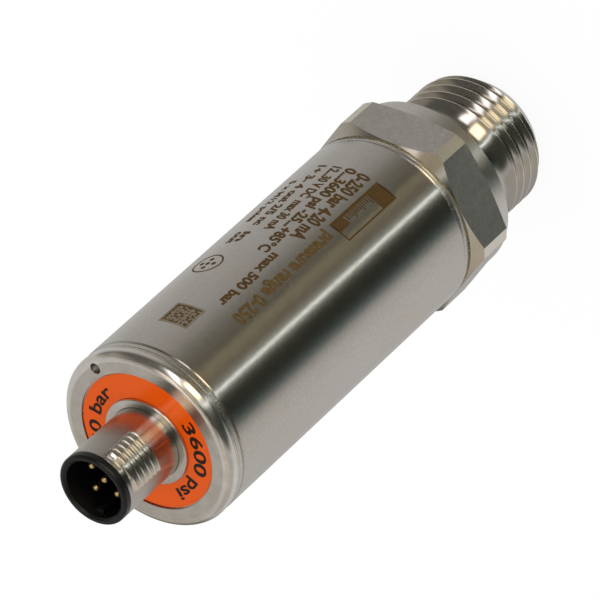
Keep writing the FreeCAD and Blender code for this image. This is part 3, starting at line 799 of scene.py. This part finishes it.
def lettering(text, width, height, heavier):
    """Flat letters between x = 0 and width with digits of the given height, standing on y = 0.

    They are 1 thick until they are laid on. heavier is how far their outlines grow, at size 1.
    """
    curve = bpy.data.curves.new(text, "FONT")
    curve.body = text
    curve.size = 1.0
    curve.offset = heavier
    curve.resolution_u = 4
    curve.extrude = 0.5
    carrier = bpy.data.objects.new("letters", curve)
    scene.collection.objects.link(carrier)
    bpy.context.view_layer.update()
    data = bpy.data.meshes.new_from_object(carrier.evaluated_get(bpy.context.evaluated_depsgraph_get()))
    mesh = bmesh.new()
    mesh.from_mesh(data)
    bpy.data.objects.remove(carrier)
    bpy.data.meshes.remove(data)
    left = min(v.co.x for v in mesh.verts)
    right = max(v.co.x for v in mesh.verts)
    for vertex in mesh.verts:
        vertex.co.x = (vertex.co.x - left) * width / (right - left)
        vertex.co.y = vertex.co.y * height / FONT_DIGIT_HEIGHT
    return mesh


def flat_block(mesh, corners, walls=range(4)):
    """Adds a flat block with four corners, as thick as lettering; walls are the sides it closes."""
    bottom = [mesh.verts.new((x, y, -0.5)) for x, y in corners]
    top = [mesh.verts.new((x, y, 0.5)) for x, y in corners]
    mesh.faces.new(bottom[::-1])
    mesh.faces.new(top)
    for n in walls:
        after = (n + 1) % 4
        mesh.faces.new((bottom[n], bottom[after], top[after], top[n]))


def flat_bar(mesh, x0, x1, y0, y1):
    flat_block(mesh, [(x0, y0), (x1, y0), (x1, y1), (x0, y1)])


def flat_ring(mesh, centre, outer, inner, steps=40):
    """Adds a flat ring made of blocks that share their corners."""
    turns = [math.tau * n / steps for n in range(steps + 1)]
    for turn, next_turn in zip(turns, turns[1:]):
        corners = [(centre[0] + radius * math.cos(t), centre[1] + radius * math.sin(t))
                   for radius, t in ((outer, turn), (outer, next_turn), (inner, next_turn), (inner, turn))]
        flat_block(mesh, corners, (0, 2))
    bmesh.ops.remove_doubles(mesh, verts=mesh.verts, dist=1e-5)


def cut_across(mesh, axis):
    """Divides a flat mesh into strips, so that it can be bent."""
    values = [v.co[axis] for v in mesh.verts]
    place = math.ceil(min(values) / STRIP) * STRIP
    while place < max(values):
        point = Vector((0, 0, 0))
        point[axis] = place
        normal = Vector((0, 0, 0))
        normal[axis] = 1.0
        bmesh.ops.bisect_plane(mesh, geom=mesh.verts[:] + mesh.edges[:] + mesh.faces[:], plane_co=point,
                               plane_no=normal, dist=1e-6)
        place += STRIP


def onto_tube(mesh, start_height, base_angle, name, material=laser_mark, gap=0.004, thickness=0.010):
    """Bends flat marks round the tube: they read away from the thread, their tops at smaller angles."""
    cut_across(mesh, 1)
    for vertex in mesh.verts:
        angle = math.radians(base_angle) - vertex.co.y / tube_radius
        radius = tube_radius + gap + (vertex.co.z + 0.5) * thickness
        height = start_height + vertex.co.x
        vertex.co = Vector((radius * math.cos(angle), radius * math.sin(angle), height)) * MM
    made = body(name, mesh, [material])


def onto_label(mesh, start_angle, name):
    """Bends flat marks round the label: they read clockwise with their tops outwards."""
    cut_across(mesh, 0)
    for vertex in mesh.verts:
        angle = math.radians(start_angle) - vertex.co.x / (LABEL_TEXT_RADIUS + LABEL_LETTER_MIDDLE)
        radius = LABEL_TEXT_RADIUS + vertex.co.y
        height = label_top + LABEL_INK_GAP + (vertex.co.z + 0.5) * LABEL_INK_THICKNESS
        vertex.co = Vector((radius * math.cos(angle), radius * math.sin(angle), height)) * MM
    made = body(name, mesh, [label_ink])


onto_label(lettering("3600 psi", 14.4, 1.95, LABEL_WEIGHT), 258.7, "range_label_psi")
onto_label(lettering("250 bar", 12.9, 1.95, LABEL_WEIGHT), 79.0, "range_label_bar")

# Text, width, digit height, weight, height where it starts, angle of its foot, name
for text, width, size, weight, start, foot, name in (
    ("0-250 bar 4-20 mA", 16.9, 1.95, MARK_WEIGHT, 32.9, 303.2, "mark_range_bar"),
    ("0...3600 psi -25...+85°C", 21.8, 1.60, MARK_WEIGHT, 32.8, 311.5, "mark_range_psi"),
    ("max 500 bar", 13.0, 1.40, MARK_WEIGHT, 54.0, 302.4, "mark_limit"),
    ("12...30 V DC  max 30 mA", 16.8, 1.45, MARK_WEIGHT, 33.2, 320.7, "mark_supply"),
    ("1+ 3- 4 out 2/5 nc", 16.0, 1.40, MARK_WEIGHT, 33.2, 331.2, "mark_output"),
    ("5 x M12 poles", 11.0, 1.20, SMALL_MARK_WEIGHT, 37.0, 340.9, "mark_poles"),
    ("in", 2.6, 1.20, SMALL_MARK_WEIGHT, 50.9, 331.2, "mark_in"),
    ("out", 3.0, 1.20, SMALL_MARK_WEIGHT, 50.9, 336.8, "mark_out"),
):
    onto_tube(lettering(text, width, size, weight), start, foot, name)
onto_tube(lettering("pressure range 0-250", 22.3, 2.0, MARK_WEIGHT), 45.7, 289.8, "mark_scale_numbers",
          light_mark)

# A framed bar with a row of scale lines, where every fourth line is longer
SCALE_LINES = 12
SCALE_LINE_STEP = 0.46
SCALE_LINE_START = 3.3
scale_bar = bmesh.new()
for x0, x1, y0, y1 in (
    (0, 11.5, 3.3, 3.55), (0, 0.25, 0, 3.55), (11.25, 11.5, 0, 3.55), (0, 11.5, 0, 0.35),
    (0, 3.1, 0, 3.4), (8.9, 11.5, 0, 1.9), (3.1, 8.9, 0, 0.5),
):
    flat_bar(scale_bar, x0, x1, y0, y1)
for number in range(SCALE_LINES):
    left = SCALE_LINE_START + SCALE_LINE_STEP * number
    flat_bar(scale_bar, left, left + 0.25, 0.5, 1.9 if number % 4 == 0 else 1.4)
onto_tube(scale_bar, 33.0, 291.4, "mark_scale_bar")

# A square of cells on a plate that is a little wider. A formula fills the cells, and they hold no code.
CELL_COUNT = 14
CELL_SQUARE = 3.9
CELL_FILL = 0.92
PLATE_BORDER = 0.35
SQUARE_PLACE = (69.6, 321.0)
cells = bmesh.new()
pitch = CELL_SQUARE / CELL_COUNT
last = CELL_COUNT - 1
for column in range(CELL_COUNT):
    for row in range(CELL_COUNT):
        solid_edge = column == 0 or row == 0
        broken_edge = (column == last and row % 2 == 0) or (row == last and column % 2 == 0)
        if solid_edge or broken_edge or (column * 5 + row * 3 + column * row) % 7 in (0, 2, 5):
            flat_bar(cells, column * pitch, (column + CELL_FILL) * pitch,
                     row * pitch, (row + CELL_FILL) * pitch)
onto_tube(cells, *SQUARE_PLACE, "mark_cell_square")
plate = bmesh.new()
plate_start, plate_end = -PLATE_BORDER, CELL_SQUARE + PLATE_BORDER
flat_bar(plate, plate_start, plate_end, plate_start, plate_end)
onto_tube(plate, *SQUARE_PLACE, "mark_cell_plate", laser_tint, gap=0.001, thickness=0.004)

# A circle with the five poles of the plug
POLE_REACH = 1.05
poles = bmesh.new()
flat_ring(poles, (0, 0), 2.3, 2.05)
for pole in ((POLE_REACH, 0), (0, POLE_REACH), (-POLE_REACH, 0), (0, -POLE_REACH), (0, 0)):
    flat_ring(poles, pole, 0.36, 0.02, 20)
onto_tube(poles, 59.3, 332.5, "mark_pole_circle")


# ---- Studio: a pale floor, a pale room for the matt surfaces, and walls and lamps that only gloss shows
# Directions are given by two angles: turn, round the axis of the part, from UP towards SIDE, and climb, from
# square to the axis towards the plug. UP and SIDE are square to the axis and to each other. The camera shows
# the first upwards and the second to the right and a little down.
UP_TURN = math.radians(-53.7)
UP = Vector((math.cos(UP_TURN), math.sin(UP_TURN), 0))
SIDE = Vector((math.cos(UP_TURN - math.pi / 2), math.sin(UP_TURN - math.pi / 2), 0))

# Turn and colour; the tones between two of them are mixed evenly
ROOM_TONES = [
    (-180, (0.53, 0.52, 0.52)), (-150, (0.55, 0.54, 0.53)), (-116, (0.55, 0.54, 0.54)),
    (-100, (0.52, 0.52, 0.50)), (-80, (0.475, 0.46, 0.455)), (-55, (0.455, 0.445, 0.435)),
    (-30, (0.38, 0.365, 0.355)), (-20, (0.32, 0.31, 0.295)), (-12, (0.235, 0.23, 0.205)),
    (-4, (0.19, 0.18, 0.155)), (6, (0.15, 0.14, 0.115)), (13, (0.12, 0.11, 0.085)),
    (15, (0.11, 0.10, 0.075)), (20, (0.205, 0.185, 0.135)), (24, (0.20, 0.18, 0.125)),
    (30, (0.155, 0.135, 0.1)), (37, (0.125, 0.11, 0.085)), (42, (0.2, 0.195, 0.16)),
    (54, (0.15, 0.15, 0.14)), (60, (0.045, 0.045, 0.037)), (68, (0.03, 0.032, 0.024)),
    (77, (0.028, 0.03, 0.024)), (84, (0.045, 0.06, 0.056)), (92, (0.125, 0.15, 0.148)),
    (98, (0.38, 0.37, 0.355)), (108, (0.56, 0.545, 0.53)), (130, (0.61, 0.595, 0.59)),
    (164, (0.59, 0.575, 0.57)), (180, (0.53, 0.52, 0.52)),
]
# Start, end and softness of the turn, the same three of the climb, strength and colour.
# A later one covers an earlier one.
NO_END = 200
PATCHES = [
    (-84, 100, 6.0, -10, NO_END, 12.0, 0.85, (0.05, 0.05, 0.042)),
    (-176, -138, 8.0, -32, 12, 8.0, 0.85, (0.12, 0.105, 0.085)),
    (108, 179, 8.0, -5, 50, 8.0, 0.45, (0.20, 0.18, 0.15)),
    (-165, -138, 6.0, 15, 38, 8.0, 0.8, (0.36, 0.30, 0.24)),
    (-135, -85, 8.0, 50, NO_END, 4.0, 0.8, (0.33, 0.29, 0.25)),
    (-92, -60, 6.0, 4, 44, 6.0, 0.5, (0.47, 0.42, 0.35)),
    (128, 176, 6.0, 35, NO_END, 7.0, 1.0, (0.55, 0.48, 0.39)),
]
LAMPS = [
    (-4, 12, 2.0, 5, 72, 6.0, 1.0, (2.1, 2.0, 2.05)),
    (17, 41, 2.0, 36, 76, 6.0, 1.0, (0.42, 0.37, 0.25)),
    (19, 40, 2.0, -17, 42, 6.0, 1.0, (2.4, 2.1, 1.55)),
    (41, 55, 1.0, -75, 72, 6.0, 1.0, (0.24, 0.245, 0.22)),
    (47.6, 50.2, 0.8, -75, 72, 6.0, 1.0, (2.1, 2.2, 2.15)),
]
# Beyond the plug: start and end along SIDE, for a direction of length 1, and colour
OVER_PLUG = [
    (-0.9, -0.35, (0.09, 0.085, 0.07)), (-0.34, -0.12, (1.15, 1.02, 0.92)),
    (-0.11, 0.12, (0.36, 0.30, 0.21)), (0.135, 0.16, (1.8, 1.8, 1.7)), (0.17, 0.9, (0.03, 0.03, 0.025)),
]
OVER_PLUG_SOFTNESS = 0.012
OVER_PLUG_AXIAL = (0.88, 0.93)    # between which it begins, along the axis
OVER_PLUG_DOWN = (0.34, 0.44)     # between which it ends, against UP


def studio():
    world = bpy.data.worlds.new("studio")
    scene.world = world
    world.use_nodes = True
    world.cycles.sampling_method = "NONE"
    nodes = Nodes(world.node_tree)
    way = nodes.add("ShaderNodeTexCoord")["Generated"]

    def along(direction):
        sockets = {0: way, 1: direction}
        return nodes.add("ShaderNodeVectorMath", {"operation": "DOT_PRODUCT"}, sockets)["Value"]

    up, side, axial = along(UP), along(SIDE), along(Vector((0, 0, 1)))
    turn = side.angle_from(up)
    climb = axial.angle_from((up * up + side * side).root())
    stops = [((angle + 180) / 360, colour) for angle, colour in ROOM_TONES]
    tones = {"ramp": "LINEAR", "stops": stops}
    lit = nodes.add("ShaderNodeValToRGB", tones, {"Fac": (turn + 180) / 360})["Color"]
    for start, end, soft, low_end, high_end, climb_soft, strength, colour in PATCHES + LAMPS:
        mask = turn.band(start, end, soft) * climb.band(low_end, high_end, climb_soft)
        lit = nodes.mix(mask * strength, lit, colour)
    over_plug = axial.rise(*OVER_PLUG_AXIAL) * (1 - (-up).rise(*OVER_PLUG_DOWN))
    for start, end, colour in OVER_PLUG:
        lit = nodes.mix(over_plug * side.band(start, end, OVER_PLUG_SOFTNESS), lit, colour)
    gloss = nodes.add("ShaderNodeLightPath")["Is Glossy Ray"]
    seen = nodes.mix(gloss, (1.0, 1.0, 1.0), lit)
    back = nodes.add("ShaderNodeBackground", None, {"Color": seen, "Strength": 1.0})["Background"]
    nodes.add("ShaderNodeOutputWorld", None, {"Surface": back})


studio()

FLOOR_HALF_WIDTH = 3.0            # in metres
FLOOR_GAP = 0.0002                # in metres, below the part
FLOOR_COLOUR = (0.9, 0.9, 0.9, 1.0)
FLOOR_GLOW_COLOUR = (1.0, 1.0, 1.0, 1.0)
FLOOR_GLOW = 1.02
FLOOR_GLOW_SHARE = 0.9            # of what the camera sees; the rest shows the shadow

floor_mesh = bmesh.new()
bmesh.ops.create_grid(floor_mesh, x_segments=1, y_segments=1, size=FLOOR_HALF_WIDTH)
floor_data = bpy.data.meshes.new("floor")
floor_mesh.to_mesh(floor_data)
floor_mesh.free()
floor = bpy.data.objects.new("floor", floor_data)
floor.location.z = cad_low.z - FLOOR_GAP
scene.collection.objects.link(floor)
floor.visible_glossy = False
floor_paint = bpy.data.materials.new("pale floor")
floor_paint.use_nodes = True
paint = Nodes(floor_paint.node_tree)
matt = paint.add("ShaderNodeBsdfDiffuse", None, {"Color": FLOOR_COLOUR})["BSDF"]
lit_sockets = {"Color": FLOOR_GLOW_COLOUR, "Strength": FLOOR_GLOW}
glow = paint.add("ShaderNodeEmission", None, lit_sockets)["Emission"]
share = paint.add("ShaderNodeLightPath")["Is Camera Ray"] * FLOOR_GLOW_SHARE
painted = paint.add("ShaderNodeMixShader", None, {0: share, 1: matt, 2: glow})["Shader"]
paint.add("ShaderNodeOutputMaterial", None, {"Surface": painted})
floor_data.materials.append(floor_paint)

# ---- Camera: its place in metres, its sensor and lens in millimetres
CAMERA_PLACE = Vector((0.00014, -0.6091, 0.5676))
CAMERA_FORWARD = Vector((0.0, 0.7598, -0.6502)).normalized()
CAMERA_UPWARD = Vector((0.7385, -0.4384, -0.5123)).normalized()
CAMERA_SENSOR = 36.0
CAMERA_LENS = 356.9
CAMERA_REACH = 20.0

camera_data = bpy.data.cameras.new("camera")
camera_data.sensor_width = CAMERA_SENSOR
camera_data.lens = CAMERA_LENS
camera_data.clip_end = CAMERA_REACH
camera = bpy.data.objects.new("camera", camera_data)
scene.collection.objects.link(camera)
rightward = CAMERA_FORWARD.cross(CAMERA_UPWARD).normalized()
upward = rightward.cross(CAMERA_FORWARD)
camera_axes = Matrix((rightward, upward, -CAMERA_FORWARD)).transposed()
camera.matrix_world = Matrix.Translation(CAMERA_PLACE) @ camera_axes.to_4x4()
scene.camera = camera

scene.view_settings.view_transform = "Standard"
